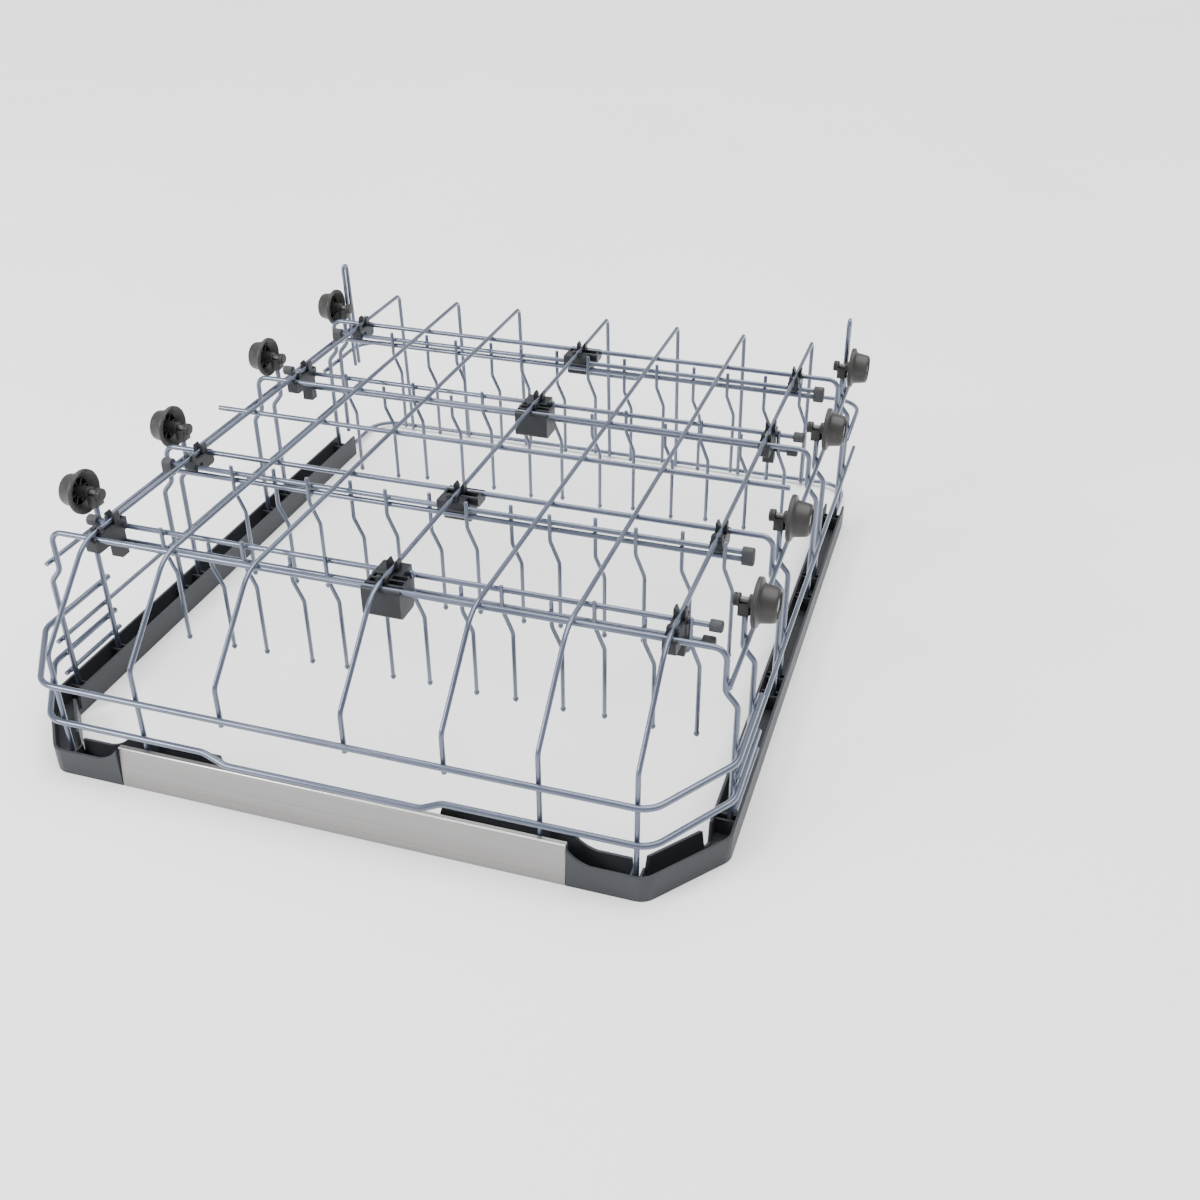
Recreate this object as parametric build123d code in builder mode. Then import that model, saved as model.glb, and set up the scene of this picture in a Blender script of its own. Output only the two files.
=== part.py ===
from build123d import *
import os
from math import atan2, pi, tan

# Lower rack of a dishwasher, standing upside down on its plastic rim: floor wires and wheels up.
# Millimetres. X is the width, the front with the handle faces -Y, +Z is up.
# The origin is the middle of the rack, on the surface it stands on.

# Overall sizes
overall_depth = 603.6
rail_outer_x = 260.6
wheel_outer_x = 267.4
floor_z = 153.0

# Wire diameters
floor_wire = 3.6
cross_wire = 4.2
rim_wire = 4.6
side_wire = 3.6
back_wire = 4.0
row_wire = 4.0
tine_wire = 3.1

# Lengthwise floor wires, three pairs and one beside the middle
long_inner_x = 80.5
long_pitch = 64.25
long_middle_x = 10.5
front_slope_start = 59.0
front_slope_drop = 56.5
front_slope_radius = 30.0
front_knee_radius = 9.0
short_foot_z = 65.3
back_corner_radius = 6.0
back_lean = 0.057
back_foot_z = 2.6

# Cross wires and their legs
cross_front_inset = 80.9
cross_rear_inset = 87.7
leg_upper_x = 245.3
leg_jog_out = 8.7
leg_jog_top_z = 117.4
leg_jog_height = 10.4
leg_corner_radius = 9.0
mid_wire_offset = 4.6
mid_wire_half = 242.3

# Rim wires
upper_rim_z = 73.0
lower_rim_z = 42.6
rim_joggle_out = 4.6
rim_joggle_down = 3.5
rim_joggle_left_x = -98.0
rim_joggle_right_x = 78.0
rim_joggle_run = 18.0
rim_straight_x = 218.5
rim_side_start = 60.1
rim_corner_radius = 20.0
rim_end_overhang = 11.0

# Side wires
hip_wire_z = 125.3
hip_wire_overhang = 7.1
hip_wire_rear_inset = 13.8
rung_z = 55.7
rung_rear_inset = 20.8
short_rung_z = 27.0
wire_overhang = 6.0

# Back wires
upper_back_z = 96.6
upper_back_dip = 5.0
upper_back_dip_half = 36.0
upper_back_dip_run = 9.0
back_wrap_radius = 24.0

# Hairpin prongs at the rear corners
prong_rear_inset = 47.3
prong_half_gap = 3.9
prong_low_z = 88.0
prong_top_z = 192.0
prong_lean = 6.0

# Plastic rim frame
rail_width = 18.0
rail_end_overhang = 13.5
rim_wall = 2.0
rim_floor = 2.5
wall_low = 20.0
wall_high = 31.0
rim_chamfer_x = 43.2
rim_chamfer_y = 54.2
rim_corner_fillet = 14.0
grip_left_x = -92.0
grip_right_x = 74.0
grip_wall = 9.0
apron_curve = 17.0
front_foot_offset = 9.1
rib = 1.6
rib_height = 15.0
corner_notch = 7.0
notch_flare = 6.0

# Steel strip on the handle
strip_half = 164.0
strip_sheet = 0.8
strip_lean = 3.2
strip_top_return = 2.8
strip_gap = 0.5

# Folding tine rows
tine_count = 13
tine_pitch = 32.3
first_tine_x = -165.0
tine_jog = 7.0
hinge_drop = 7.7
front_tine_top = 3.9
front_tine_length = 91.8
front_tine_jog_top = 17.4
front_tine_jog_height = 17.4
rear_tine_top = -5.2
rear_tine_length = 89.2
rear_tine_jog_top = 25.2
rear_tine_jog_height = 15.7
row_left_x = -234.0
row_right_x = 235.0
open_row_offset = 29.1
open_row_drop = 13.1
open_row_short = 4.4
close_row_offset = -19.6
close_row_drop = 5.7
cap_radius = 4.2
cap_length = 8.7
cap_end = 1.0
cap_edge = 0.9

# Hinge clips
clip_bottom = 24.0
clip_front = 4.3
clip_round = 3.0
clip_wall = 1.8
side_left = 4.8
side_right = 4.4
side_clip_bottom = 14.0
side_clip_tail = 29.5
middle_left = 12.2
middle_right = 8.6
middle_extra = 7.4
middle_block_depth = 17.0
open_arm = 7.0
arm_setback = 0.6
tail_root = 2.0
bar_rise = 1.4
pocket_gap = 3.2
open_pocket_depth = 12.0
close_pocket_depth = 6.0
close_extra_bottom = 10.4
open_pockets = ((4.4, 4.6), (10.8, 4.4))
close_pockets = ((-9.7, 5.4),)
open_prongs = ((26.2, 6.0, 6.3), (6.6, 3.6, 3.4))
close_prongs = ((-2.8, 5.8, 6.3), (-18.6, 4.0, 3.4))
prong_root = 0.6
prong_neck_z = 1.0
prong_hook_z = 2.2
prong_hook = 0.7
prong_flare = 1.0
prong_wall = 2.3
prong_slope = 0.8
hinge_clearance = 0.08
grip_clearance = 0.05
sweep_clearance = 0.4
ring_wall = 1.3
snap_gap = 3.2

# Wheels and their brackets
wheel_d_offset = 51.8
wheel_c_offset = 24.2
wheel_b_offset = 34.1
wheel_a_offset = 22.6
wheel_z = 153.5
wheel_width = 16.2
flange_radius = 17.2
flange_width = 3.6
drum_radius = 12.0
step_radius = 14.4
flange_draft = 0.8
drum_step = 1.8
rim_edge = 1.2
wheel_wall = 1.8
web_depth = 2.4
hub_radius = 4.8
hub_stand = 0.3
pin_radius = 2.5
pin_clearance = 0.06
pin_head_radius = 4.0
pin_head = 1.0
side_play = 0.3
bracket_head_x = 236.8
head_top = 157.6
head_bottom = 143.6
head_width = 9.6
head_length = 12.2
head_rib = 1.4
pocket_x = 3.6
pocket_y = 2.8
pocket_sink = 1.4
pin_root = 3.0
collar_radius = 4.8
post_top_z = 149.4

# Derived places
clip_seat = floor_wire / 2
cross_z = floor_z - (floor_wire + cross_wire) / 2
hinge_z = floor_z - hinge_drop
leg_lower_x = leg_upper_x + leg_jog_out
rear_end_y = overall_depth / 2
front_end_y = -rear_end_y
rim_front_y = front_end_y + rim_wire / 2 + rim_joggle_out
front_y = rim_front_y + (rim_wire + floor_wire) / 2
rim_outer_y = front_y - front_foot_offset
rim_side_x = leg_lower_x + (cross_wire + rim_wire) / 2
rung_x = leg_lower_x + (cross_wire + side_wire) / 2
hip_wire_x = leg_upper_x + (cross_wire + side_wire) / 2
lower_back_z = rim_floor + back_wire / 2
back_foot_y = rear_end_y - back_wire - floor_wire / 2
back_wrap_x = leg_lower_x + (cross_wire + back_wire) / 2
cross_pitch = (overall_depth - cross_front_inset - cross_rear_inset) / 3
cross_ys = [front_end_y + cross_front_inset + index * cross_pitch for index in range(4)]
wheel_offsets = (wheel_d_offset, wheel_c_offset, wheel_b_offset, wheel_a_offset)
wheel_ys = [cross_y + offset for cross_y, offset in zip(cross_ys, wheel_offsets)]
mid_wire_y = (cross_ys[1] + cross_ys[2]) / 2 + mid_wire_offset
hip_wire_front_y = cross_ys[0] - hip_wire_overhang
hip_wire_rear_y = rear_end_y - hip_wire_rear_inset
rung_rear_y = rear_end_y - rung_rear_inset
prong_mid_y = rear_end_y - prong_rear_inset
rail_rear_y = cross_ys[3] + rail_end_overhang
long_outer_x = long_inner_x + 2 * long_pitch
long_side_xs = [long_inner_x + index * long_pitch for index in range(3)]
wheel_inner_x = wheel_outer_x - wheel_width


def back_y(z):
    """Centre of the leaning rear ends of the lengthwise wires at a height."""
    return back_foot_y - back_lean * (z - lower_back_z)


def save(solid, name):
    """Label a finished piece and write its file."""
    solid.label = name
    export_step(solid, f"parts/{name}.step")


def straight_wire(start, end, diameter):
    """A straight round wire from one point to another."""
    run = Vector(*end) - Vector(*start)
    with BuildPart() as wire:
        with BuildSketch(Plane(origin=start, z_dir=run)):
            Circle(diameter / 2)
        extrude(amount=run.length)
    return wire.part


def bent_wire(points, radii, diameter):
    """A round wire with straight runs between the points, and an arc at each corner or a mitre where it is 0."""
    with BuildPart() as wire:
        with BuildLine() as path:
            FilletPolyline(*points, radius=radii)
        with BuildSketch(Plane(origin=path.line @ 0, z_dir=path.line % 0)):
            Circle(diameter / 2)
        sweep(path=path.line, transition=Transition.RIGHT)
    return wire.part


def mirrored(points):
    """The same points on the other side of the rack, in the opposite order."""
    return [(-x, y, z) for x, y, z in reversed(points)]


def group(solids):
    """Separate solids that share one file."""
    return Compound(children=list(solids))


# Plastic rim: an upward-open channel along the front and both sides
def rim_outline(inset, rear_y):
    """Plan of the rim's outer face moved inwards, closed straight across at the rear."""
    turn = atan2(rim_chamfer_y, rim_chamfer_x)
    side_x = rail_outer_x - inset
    front = rim_outer_y + inset
    front_x = rail_outer_x - rim_chamfer_x - inset * tan(turn / 2)
    side_y = rim_outer_y + rim_chamfer_y + inset * tan((pi / 2 - turn) / 2)
    right = [(front_x, front), (side_x, side_y), (side_x, rear_y)]
    return [(-x, y) for x, y in reversed(right)] + right


def rim_ring(outer_inset, inner_inset):
    """Sketch of the band between two insets of the rim's outline, open at the rear."""
    with BuildSketch() as ring:
        Polygon(*rim_outline(outer_inset, rail_rear_y), align=None)
        fillet(ring.vertices().filter_by(lambda v: v.Y < 0), rim_corner_fillet - outer_inset / 2)
        with BuildSketch(mode=Mode.PRIVATE) as hole:
            Polygon(*rim_outline(inner_inset, rail_rear_y + rail_width), align=None)
            fillet(hole.vertices().filter_by(lambda v: v.Y < 0), rim_corner_fillet - inner_inset / 2)
        add(hole.sketch, mode=Mode.SUBTRACT)
    return ring.sketch


channel_inner = rail_width - rim_wall
foot_half = cross_wire / 2 + 0.2 + rib / 2
rail_feet = [y for y in cross_ys + wheel_ys if y < rail_rear_y - rib]
front_feet = [side * x for side in (-1, 1) for x in long_side_xs[1:]]
strip_outer_y = rim_outer_y + strip_sheet
apron_low_x = strip_half + apron_curve
inner_face_y = rim_outer_y + channel_inner

with BuildPart() as rim_frame:
    with BuildSketch():
        add(rim_ring(0, rail_width))
    extrude(amount=rim_floor)
    with BuildSketch(Plane.XY.offset(rim_floor)):
        add(rim_ring(0, rim_wall))
        add(rim_ring(channel_inner, rail_width))
    extrude(amount=wall_low - rim_floor)
    # The steel strip's seat: the straight wall behind it is cut away and replaced by a leaning one
    with BuildSketch():
        with Locations((0, rim_outer_y)):
            Rectangle(2 * (strip_half + strip_gap), 2 * (strip_lean + rim_wall))
    extrude(amount=wall_high, mode=Mode.SUBTRACT)
    with BuildSketch(Plane.YZ.offset(-strip_half - strip_gap)):
        Polygon(
            (strip_outer_y, 0),
            (strip_outer_y + strip_lean, wall_high),
            (strip_outer_y + strip_lean + rim_wall, wall_high),
            (strip_outer_y + strip_lean + rim_wall, 0),
            align=None,
        )
    extrude(amount=2 * (strip_half + strip_gap))
    # Both walls rise in a curve beside the strip, and the inner one is cut low at the hand grip
    for side in (-1, 1):
        with BuildSketch(Plane.XZ.offset(-rim_outer_y)):
            low_x = side * apron_low_x
            high_x = side * (strip_half + strip_gap)
            with BuildLine():
                Spline((low_x, wall_low), (high_x, wall_high), tangents=((-side, 0.2), (-side, 1.4)))
                Polyline((high_x, wall_high), (high_x, rim_floor), (low_x, rim_floor), (low_x, wall_low))
            make_face()
        extrude(amount=-rim_wall)
    with BuildSketch(Plane.XZ.offset(-inner_face_y)):
        with BuildLine():
            Spline((-apron_low_x, wall_low), (-strip_half, wall_high), tangents=((1, 0.2), (1, 1.4)))
            Line((-strip_half, wall_high), (strip_half, wall_high))
            Spline((strip_half, wall_high), (apron_low_x, wall_low), tangents=((1, -1.4), (1, -0.2)))
            Polyline(
                (apron_low_x, wall_low), (apron_low_x, rim_floor), (-apron_low_x, rim_floor), (-apron_low_x, wall_low)
            )
        make_face()
    extrude(amount=-rim_wall)
    with BuildSketch(Plane.XZ.offset(-inner_face_y + rim_wall)) as grip_cut:
        with BuildLine():
            cut_top = wall_high + rim_wall
            Spline((grip_left_x, wall_high), (grip_left_x + apron_curve, grip_wall), tangents=((0.3, -1), (1, 0)))
            Line((grip_left_x + apron_curve, grip_wall), (grip_right_x - apron_curve, grip_wall))
            Spline((grip_right_x - apron_curve, grip_wall), (grip_right_x, wall_high), tangents=((1, 0), (0.3, 1)))
            Polyline(
                (grip_right_x, wall_high), (grip_right_x, cut_top), (grip_left_x, cut_top), (grip_left_x, wall_high)
            )
        make_face()
    extrude(amount=-3 * rim_wall, mode=Mode.SUBTRACT)
    # Upright notches part the inner wall at the four corners of the plan
    with BuildSketch(Plane.XY.offset(rim_floor + rim_wall)):
        for x, y in rim_outline(channel_inner + rim_wall / 2, rail_rear_y):
            if y < 0:
                with Locations((x, y)):
                    Rectangle(corner_notch, corner_notch)
    extrude(amount=wall_high, taper=-notch_flare, mode=Mode.SUBTRACT)
    # Thin ribs cross the channel on both sides of each wire's foot
    with BuildSketch(Plane.XY.offset(rim_floor)):
        for side in (-1, 1):
            for foot_y in rail_feet:
                for step in (-foot_half, foot_half):
                    with Locations((side * (rail_outer_x - rail_width / 2), foot_y + step)):
                        Rectangle(channel_inner - rim_wall, rib)
        for foot_x in front_feet:
            for step in (-foot_half, foot_half):
                with Locations((foot_x + step, rim_outer_y + rail_width / 2 + strip_lean / 2)):
                    Rectangle(rib, channel_inner - rim_wall - strip_lean)
    extrude(amount=rib_height - rim_floor)
save(rim_frame.part, "rim_frame")

# Steel strip: one sheet folded over the top of the handle
with BuildPart() as handle_strip:
    with BuildSketch(Plane.YZ.offset(-strip_half)):
        with BuildLine():
            Polyline(
                (strip_outer_y, 0),
                (strip_outer_y + strip_lean, wall_high),
                (strip_outer_y + strip_lean + strip_top_return, wall_high),
                (strip_outer_y + strip_lean + strip_top_return, wall_high + strip_sheet),
                (strip_outer_y + strip_lean - strip_sheet, wall_high + strip_sheet),
                (strip_outer_y - strip_sheet, 0),
                close=True,
            )
        make_face()
    extrude(amount=2 * strip_half)
save(handle_strip.part, "handle_strip")


# Lengthwise wires: up the back, along the floor and down the sloping front
def lengthwise_wire(x, foot_z):
    corner_y = back_y(floor_z)
    points = [
        (x, back_y(back_foot_z), back_foot_z),
        (x, corner_y, floor_z),
        (x, front_y + front_slope_start, floor_z),
        (x, front_y, floor_z - front_slope_drop),
        (x, front_y, foot_z),
    ]
    return bent_wire(points, [back_corner_radius, front_slope_radius, front_knee_radius], floor_wire)


long_xs = [-x for x in reversed(long_side_xs)] + [long_middle_x] + long_side_xs
for number, wire_x in enumerate(long_xs, start=1):
    reaches_rim = abs(wire_x) > long_inner_x
    save(lengthwise_wire(wire_x, rim_floor if reaches_rim else short_foot_z), f"lengthwise_wire_{number}")


# Cross wires: over the floor and down both sides into the rim
def leg_points(foot_z, y, top_z):
    """One side's leg, from its foot up to its top, with the outward jog."""
    return [
        (leg_lower_x, y, foot_z),
        (leg_lower_x, y, leg_jog_top_z - leg_jog_height),
        (leg_upper_x, y, leg_jog_top_z),
        (leg_upper_x, y, top_z),
    ]


leg_radii = [0, 0]
for letter, wire_y in zip("dcba", cross_ys):
    right_leg = leg_points(rim_floor, wire_y, cross_z)
    cross_radii = leg_radii + [leg_corner_radius, leg_corner_radius] + leg_radii
    save(bent_wire(right_leg + mirrored(right_leg), cross_radii, cross_wire), f"cross_wire_{letter}")
save(
    straight_wire((-mid_wire_half, mid_wire_y, cross_z), (mid_wire_half, mid_wire_y, cross_z), cross_wire),
    "cross_wire_middle",
)

# Rim wires round the front and along both sides
rim_side_y = rim_front_y + rim_side_start
upper_half = [
    (rim_side_x, wheel_ys[0] + rim_end_overhang, upper_rim_z),
    (rim_side_x, rim_side_y, upper_rim_z),
    (rim_straight_x, rim_front_y, upper_rim_z),
]
upper_points = upper_half + mirrored(upper_half)
save(bent_wire(upper_points, [rim_corner_radius] * 4, rim_wire), "upper_rim_wire")

lower_right = [(x, y, lower_rim_z) for x, y, z in upper_half]
joggle_y = rim_front_y - rim_joggle_out
joggle_z = lower_rim_z - rim_joggle_down
lower_joggle = [
    (rim_joggle_right_x, rim_front_y, lower_rim_z),
    (rim_joggle_right_x - rim_joggle_run, joggle_y, joggle_z),
    (rim_joggle_left_x + rim_joggle_run, joggle_y, joggle_z),
    (rim_joggle_left_x, rim_front_y, lower_rim_z),
]
lower_points = lower_right + lower_joggle + mirrored(lower_right)
lower_radii = [rim_corner_radius] * 2 + [0] * 4 + [rim_corner_radius] * 2
save(bent_wire(lower_points, lower_radii, rim_wire), "lower_rim_wire")


# Side wires: one along the top of the legs, and rungs low on each side
def side_run(side, x, z, front, rear):
    return straight_wire((side * x, front, z), (side * x, rear, z), side_wire)


for side, side_name in ((-1, "left"), (1, "right")):
    first_y = cross_ys[0] - wire_overhang
    side_wires = [
        side_run(side, hip_wire_x, hip_wire_z, hip_wire_front_y, hip_wire_rear_y),
        side_run(side, rung_x, rung_z, first_y, rung_rear_y),
        side_run(side, rung_x, short_rung_z, first_y, wheel_ys[0] + rim_end_overhang),
    ]
    save(group(side_wires), f"side_wires_{side_name}")


# Back wires: across the rear and forward round both corners
def back_wire_y(z):
    return back_y(z) + (floor_wire + back_wire) / 2


dip_z = upper_back_z - upper_back_dip
upper_back_half = [
    (back_wrap_x, cross_ys[3] - wire_overhang, upper_back_z),
    (back_wrap_x, back_wire_y(upper_back_z), upper_back_z),
    (long_middle_x + upper_back_dip_half, back_wire_y(upper_back_z), upper_back_z),
    (long_middle_x + upper_back_dip_half - upper_back_dip_run, back_wire_y(dip_z), dip_z),
]
upper_back_left = [
    (long_middle_x - upper_back_dip_half + upper_back_dip_run, back_wire_y(dip_z), dip_z),
    (long_middle_x - upper_back_dip_half, back_wire_y(upper_back_z), upper_back_z),
    (-back_wrap_x, back_wire_y(upper_back_z), upper_back_z),
    (-back_wrap_x, cross_ys[3] - wire_overhang, upper_back_z),
]
dip_radii = [0] * 4
save(
    bent_wire(
        upper_back_half + upper_back_left,
        [back_wrap_radius] + dip_radii + [back_wrap_radius],
        back_wire,
    ),
    "upper_back_wire",
)
rail_middle_x = rail_outer_x - rail_width / 2
lower_back_half = [
    (rail_middle_x, rail_rear_y - wire_overhang, lower_back_z),
    (rail_middle_x, back_wire_y(lower_back_z), lower_back_z),
]
save(
    bent_wire(lower_back_half + mirrored(lower_back_half), [back_wrap_radius] * 2, back_wire),
    "lower_back_wire",
)


# Rear prongs: hairpins welded inside the side wires
def prong(side):
    x = side * (hip_wire_x - side_wire)
    top_y = prong_mid_y - prong_lean
    bend_z = prong_top_z - prong_half_gap / 2
    points = [
        (x, prong_mid_y + prong_half_gap, prong_low_z),
        (x, top_y + prong_half_gap, bend_z),
        (x, top_y + prong_half_gap / 2, prong_top_z),
        (x, top_y - prong_half_gap / 2, prong_top_z),
        (x, top_y - prong_half_gap, bend_z),
        (x, prong_mid_y - prong_half_gap, prong_low_z),
    ]
    return bent_wire(points, [0] * 4, side_wire)


save(group([prong(-1), prong(1)]), "rear_prongs")


# Wheel posts: a jogged wire up each side into every wheel bracket
def wheel_post(side, y):
    foot_z = rim_floor if y < rail_rear_y else wall_low
    points = [(side * x, py, z) for x, py, z in leg_points(foot_z, y, post_top_z)]
    return bent_wire(points, leg_radii, cross_wire)


for side, side_name in ((-1, "left"), (1, "right")):
    save(group([wheel_post(side, y) for y in wheel_ys]), f"wheel_posts_{side_name}")


# Wheels: a flange on the inner side, a drum on the outer side, hollow towards the rack
drum_start = wheel_inner_x + flange_width
web_x = wheel_outer_x - web_depth


def wheel(side, y):
    bore = pin_radius + pin_clearance
    profile = [
        (wheel_inner_x, flange_radius),
        (drum_start, flange_radius - flange_draft),
        (drum_start, step_radius),
        (drum_start + drum_step, drum_radius),
        (wheel_outer_x - rim_edge, drum_radius),
        (wheel_outer_x, drum_radius - rim_edge),
        (wheel_outer_x, drum_radius - wheel_wall - rim_edge),
        (web_x, drum_radius - wheel_wall - rim_edge),
        (web_x, bore),
        (wheel_inner_x - hub_stand, bore),
        (wheel_inner_x - hub_stand, hub_radius),
        (web_x - wheel_wall, hub_radius),
        (web_x - wheel_wall, drum_radius - wheel_wall),
        (drum_start + drum_step, drum_radius - wheel_wall),
        (wheel_inner_x, flange_radius - wheel_wall),
    ]
    axle_plane = Plane(origin=(0, y, wheel_z), x_dir=(side, 0, 0), z_dir=(0, -side, 0))
    with BuildPart() as roller:
        with BuildSketch(axle_plane):
            Polygon(*profile, align=None)
        revolve(axis=Axis((0, y, wheel_z), (1, 0, 0)))
    return roller.part


# Wheel brackets: a moulded head on the post, with a collar behind the wheel
collar_x = wheel_inner_x - hub_stand - side_play
pin_root_x = bracket_head_x + pin_root


def bracket(side, y):
    with BuildPart() as head:
        outward = Plane(origin=(side * bracket_head_x, y, wheel_z), x_dir=(0, side, 0), z_dir=(side, 0, 0))
        block_middle = (head_top + head_bottom) / 2
        with BuildSketch(outward):
            with Locations((0, block_middle - wheel_z)):
                Rectangle(head_width, head_top - head_bottom)
        extrude(amount=head_length)
        with BuildSketch(outward.offset(head_length)):
            Circle(collar_radius)
        extrude(amount=collar_x - bracket_head_x - head_length)
        # sunken pockets leave a cross of ribs on the top face
        with BuildSketch(Plane.XY.offset(head_top)):
            with Locations((side * (bracket_head_x + head_length / 2), y)):
                with GridLocations(pocket_x + head_rib, pocket_y + head_rib, 2, 2):
                    Rectangle(pocket_x, pocket_y)
        extrude(amount=-pocket_sink, mode=Mode.SUBTRACT)
        # blind hole for the post below the pin
        with BuildSketch(Plane.XY.offset(head_bottom)):
            with Locations((side * leg_upper_x, y)):
                Circle(cross_wire / 2 + grip_clearance)
        extrude(amount=post_top_z - head_bottom, mode=Mode.SUBTRACT)
        with BuildSketch(outward.offset(pin_root_x - bracket_head_x)):
            Circle(pin_radius + grip_clearance)
        extrude(amount=collar_x - pin_root_x, mode=Mode.SUBTRACT)
    return head.part


def axle_pin(side, y):
    """Headed steel pin fixed in the bracket, on which the wheel turns."""
    inner = Plane(origin=(side * pin_root_x, y, wheel_z), x_dir=(0, 1, 0), z_dir=(side, 0, 0))
    head_x = web_x + side_play
    with BuildPart() as pin:
        with BuildSketch(inner):
            Circle(pin_radius)
        extrude(amount=head_x - pin_root_x)
        with BuildSketch(inner.offset(head_x - pin_root_x)):
            Circle(pin_head_radius)
        extrude(amount=pin_head)
    return pin.part


pins = []
for side, side_name in ((-1, "left"), (1, "right")):
    for number, wheel_y in enumerate(wheel_ys, start=1):
        save(wheel(side, wheel_y), f"wheel_{side_name}_{number}")
        save(bracket(side, wheel_y), f"wheel_bracket_{side_name}_{number}")
        pins.append(axle_pin(side, wheel_y))
save(group(pins), "axle_pins")


# Tine rows: two long wires with thirteen bent tines welded to them
def tine(x_low, y, z_top, length, jog_top, jog_height):
    """One tine hanging from its top, stepping sideways in an S on its way down."""
    jog_z = z_top - jog_top
    points = [
        (x_low - tine_jog, y, z_top),
        (x_low - tine_jog, y, jog_z),
        (x_low, y, jog_z - jog_height),
        (x_low, y, z_top - length),
    ]
    return bent_wire(points, [0, 0], tine_wire)


def tine_row(cross_y, offset, drop, shorter):
    hinge_y = cross_y + offset
    reach = (row_wire + tine_wire) / 2
    solids = [
        straight_wire((row_left_x, hinge_y, hinge_z), (row_right_x, hinge_y, hinge_z), row_wire),
        straight_wire(
            (row_left_x + shorter, hinge_y, hinge_z - drop),
            (row_right_x - shorter, hinge_y, hinge_z - drop),
            row_wire,
        ),
    ]
    for index in range(tine_count):
        x_low = first_tine_x + index * tine_pitch
        if index % 2 == 0:
            top_z = hinge_z + front_tine_top
            solids.append(
                tine(x_low, hinge_y - reach, top_z, front_tine_length, front_tine_jog_top, front_tine_jog_height)
            )
        else:
            top_z = hinge_z + rear_tine_top
            solids.append(
                tine(
                    x_low,
                    hinge_y + reach,
                    top_z,
                    rear_tine_length,
                    rear_tine_jog_top + rear_tine_top,
                    rear_tine_jog_height,
                )
            )
    return group(solids)


def end_cap(x_inner, side, hinge_y, z_top, z_low):
    """Soft cap pushed over a wire's end, or over two ends when z_low is lower than z_top."""
    end_plane = Plane(origin=(x_inner, hinge_y, 0), x_dir=(0, side, 0), z_dir=(side, 0, 0))
    middle = (z_top + z_low) / 2
    with BuildPart() as cap:
        with BuildSketch(end_plane):
            with Locations((0, middle)):
                if z_top > z_low:
                    SlotCenterToCenter(z_top - z_low, 2 * cap_radius, rotation=90)
                else:
                    Circle(cap_radius)
        extrude(amount=cap_length)
        chamfer(cap.faces().sort_by(Axis.X)[-1 if side > 0 else 0].edges(), cap_edge)
        with BuildSketch(end_plane):
            for z in sorted({z_top, z_low}):
                with Locations((0, z)):
                    Circle(row_wire / 2 + grip_clearance)
        extrude(amount=cap_length - cap_end, mode=Mode.SUBTRACT)
    return cap.part


def row_caps(cross_y, offset, drop, shorter):
    hinge_y = cross_y + offset
    caps = []
    for side, end_x in ((-1, row_left_x), (1, row_right_x)):
        inner_x = end_x - side * (cap_length - cap_end)
        low_z = hinge_z - drop
        if shorter:
            caps.append(end_cap(inner_x, side, hinge_y, hinge_z, hinge_z))
            caps.append(end_cap(inner_x - side * shorter, side, hinge_y, low_z, low_z))
        else:
            caps.append(end_cap(inner_x, side, hinge_y, hinge_z, low_z))
    return group(caps)


open_row = (open_row_offset, open_row_drop, open_row_short)
close_row = (close_row_offset, close_row_drop, 0)
row_kinds = [open_row, close_row, open_row, close_row]
for letter, wire_y, (offset, drop, shorter) in zip("dcba", cross_ys, row_kinds):
    save(tine_row(wire_y, offset, drop, shorter), f"tine_row_{letter}")
    save(row_caps(wire_y, offset, drop, shorter), f"tine_row_{letter}_caps")


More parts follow.
